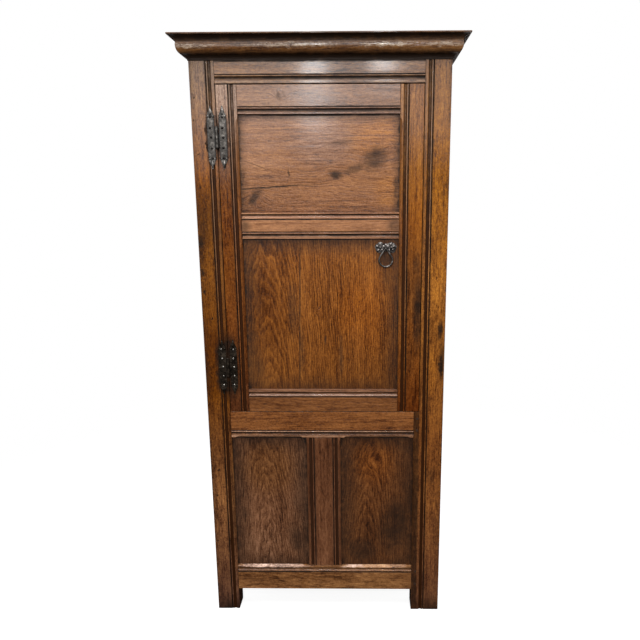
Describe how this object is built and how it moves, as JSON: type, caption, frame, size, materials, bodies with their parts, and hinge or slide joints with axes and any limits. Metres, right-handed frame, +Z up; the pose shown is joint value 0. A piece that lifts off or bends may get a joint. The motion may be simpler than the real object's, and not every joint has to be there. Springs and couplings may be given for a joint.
{
  "type": "food cupboard",
  "caption": "Tall joined-oak food cupboard with a moulded cornice, one panelled door on H hinges, a pear-drop handle, fixed lower panels and shelves inside.",
  "frame": {"origin": "on the floor, under the middle of the whole outline with the cornice", "axes": "+X to the right seen from the front, +Y from the door to the back, +Z up; the door faces -Y"},
  "size_m": [0.852, 0.466, 1.85],
  "materials": {
    "frame_oak": "waxed, worn",
    "cornice_oak": "waxed, dark",
    "golden_panel": "waxed",
    "pale_panel": "waxed",
    "brown_panel": "waxed",
    "inside_oak": "dry, unwaxed",
    "wrought_iron": "hammered, waxed black"
  },
  "bodies": {
    "carcass": {"front_stile_left": "frame_oak", "front_stile_right": "frame_oak", "back_stile_left": "frame_oak", "back_stile_right": "frame_oak", "frieze_rail": "frame_oak", "middle_rail": "frame_oak", "bottom_rail": "frame_oak", "muntin": "frame_oak", "lower_panel_left": "brown_panel", "lower_panel_right": "brown_panel", "side_top_rail_left": "frame_oak", "side_middle_rail_left": "frame_oak", "side_bottom_rail_left": "frame_oak", "side_upper_panel_left": "brown_panel", "side_lower_panel_left": "brown_panel", "side_top_rail_right": "frame_oak", "side_middle_rail_right": "frame_oak", "side_bottom_rail_right": "frame_oak", "side_upper_panel_right": "brown_panel", "side_lower_panel_right": "brown_panel", "back_top_rail": "inside_oak", "back_bottom_rail": "inside_oak", "back_board_1": "inside_oak", "back_board_2": "inside_oak", "back_board_3": "inside_oak", "back_board_4": "inside_oak", "back_board_5": "inside_oak", "bottom_board": "inside_oak", "bottom_bearer_left": "inside_oak", "bottom_bearer_right": "inside_oak", "shelf_lower": "inside_oak", "shelf_lower_bearer_left": "inside_oak", "shelf_lower_bearer_right": "inside_oak", "shelf_upper": "inside_oak", "shelf_upper_bearer_left": "inside_oak", "shelf_upper_bearer_right": "inside_oak", "door_stop": "inside_oak", "top_board": "cornice_oak", "cornice_front": "cornice_oak", "cornice_left": "cornice_oak", "cornice_right": "cornice_oak", "hinge_upper_frame_leaf": "wrought_iron", "hinge_upper_pin": "wrought_iron", "hinge_lower_frame_leaf": "wrought_iron", "hinge_lower_pin": "wrought_iron"},
    "door": {"door_hinge_stile": "frame_oak", "door_lock_stile": "frame_oak", "door_top_rail": "frame_oak", "door_middle_rail": "frame_oak", "door_bottom_rail": "frame_oak", "door_upper_panel": "pale_panel", "door_lower_panel": "golden_panel", "hinge_upper_door_leaf": "wrought_iron", "hinge_lower_door_leaf": "wrought_iron", "handle_plate": "wrought_iron", "handle_staple": "wrought_iron"},
    "drop": {"handle_drop": "wrought_iron"}
  },
  "joints": [
    {"name": "door_hinge", "type": "hinge", "parent": "carcass", "child": "door", "pos_m": [-0.306, -0.1928, 1.22225], "axis": [0, 0, -1], "range_deg": [0, 170]},
    {"name": "drop_swing", "type": "hinge", "parent": "door", "child": "drop", "pos_m": [0.1925, -0.1881, 1.24561], "axis": [-1, 0, 0], "range_deg": [-6, 110]}
  ]
}
